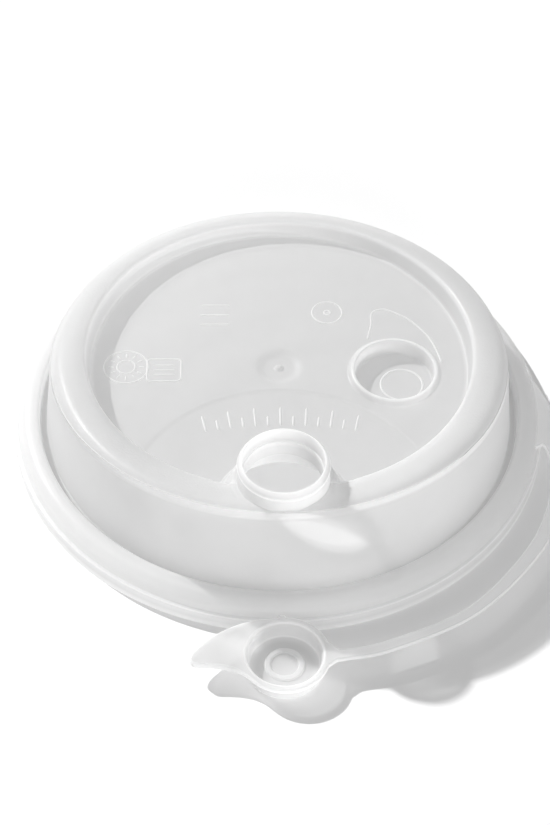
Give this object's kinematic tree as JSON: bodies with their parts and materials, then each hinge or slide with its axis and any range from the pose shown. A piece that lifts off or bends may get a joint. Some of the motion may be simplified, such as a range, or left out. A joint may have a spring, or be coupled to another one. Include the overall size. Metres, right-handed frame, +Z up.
{
  "type": "bubble tea cup lid",
  "caption": "Round plastic drinking-cup lid with a slanted raised ring, short spout, parking pocket and a stopper on a moulded strap.",
  "frame": {"origin": "centre of the bounding box at the floor the skirt rests on", "axes": "+Z up along the lid axis, the spout and the stopper toward -Y, the strap leaves the skirt on the +X side"},
  "size_m": [0.0984, 0.1102, 0.0268],
  "materials": {
    "polypropylene": "translucent, lightly frosted"
  },
  "bodies": {
    "root": {"lid": "polypropylene"}
  },
  "joints": []
}
